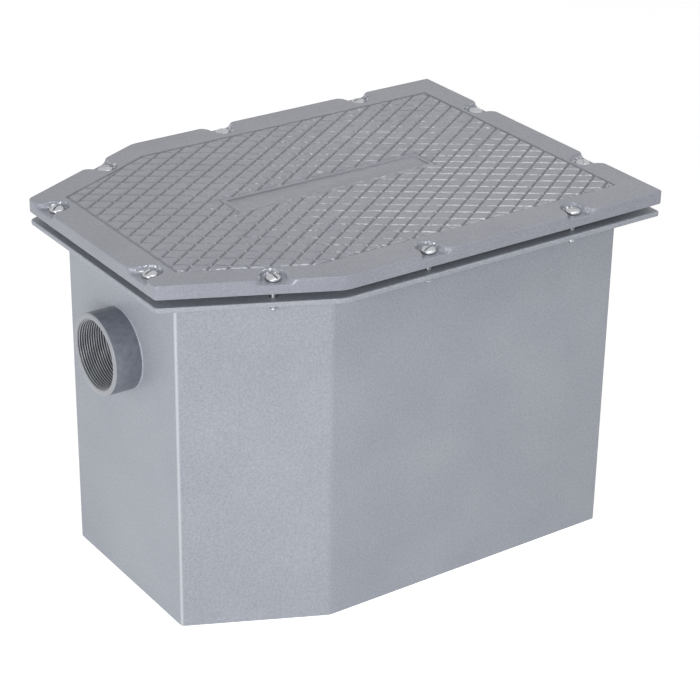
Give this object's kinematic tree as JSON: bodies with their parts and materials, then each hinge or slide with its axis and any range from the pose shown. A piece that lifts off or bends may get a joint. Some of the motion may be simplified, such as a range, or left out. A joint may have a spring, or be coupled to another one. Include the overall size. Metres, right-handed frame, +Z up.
{
  "type": "grease trap",
  "caption": "Grease trap: folded steel tank with cut inlet corners, pipe couplings at both ends, inner baffles and a screwed cast-iron tread cover.",
  "frame": {"origin": "on the ground under the middle of the cover", "axes": "+X from the inlet end to the outlet end, +Z up, +Y to the left of the flow"},
  "size_m": [0.662, 0.486, 0.4719],
  "materials": {
    "painted_steel": "grey hammertone enamel",
    "painted_iron": "grey enamel over cast iron",
    "inner_steel": "grey corrosion-resistant coating",
    "gasket_rubber": "black moulded rubber",
    "plated_steel": "bright zinc plate",
    "plug_brass": "turned brass"
  },
  "bodies": {
    "root": {"shell_wall": "painted_steel", "bottom_plate": "painted_steel", "top_flange": "painted_steel", "inlet_coupling": "painted_steel", "outlet_coupling": "painted_steel", "cover": "painted_iron", "cover_gasket": "gasket_rubber", "cover_screw_01": "plated_steel", "cover_screw_02": "plated_steel", "cover_screw_03": "plated_steel", "cover_screw_04": "plated_steel", "cover_screw_05": "plated_steel", "cover_screw_06": "plated_steel", "cover_screw_07": "plated_steel", "cover_screw_08": "plated_steel", "cover_screw_09": "plated_steel", "cover_screw_10": "plated_steel", "inlet_hood": "inner_steel", "slotted_baffle": "inner_steel", "underflow_baffle": "inner_steel", "slotted_guide_front": "inner_steel", "slotted_guide_back": "inner_steel", "underflow_guide_front": "inner_steel", "underflow_guide_back": "inner_steel", "trap_partition": "inner_steel", "trap_roof": "inner_steel", "cleanout_collar": "inner_steel", "cleanout_plug": "plug_brass", "air_relief_pipe": "inner_steel"}
  },
  "joints": []
}
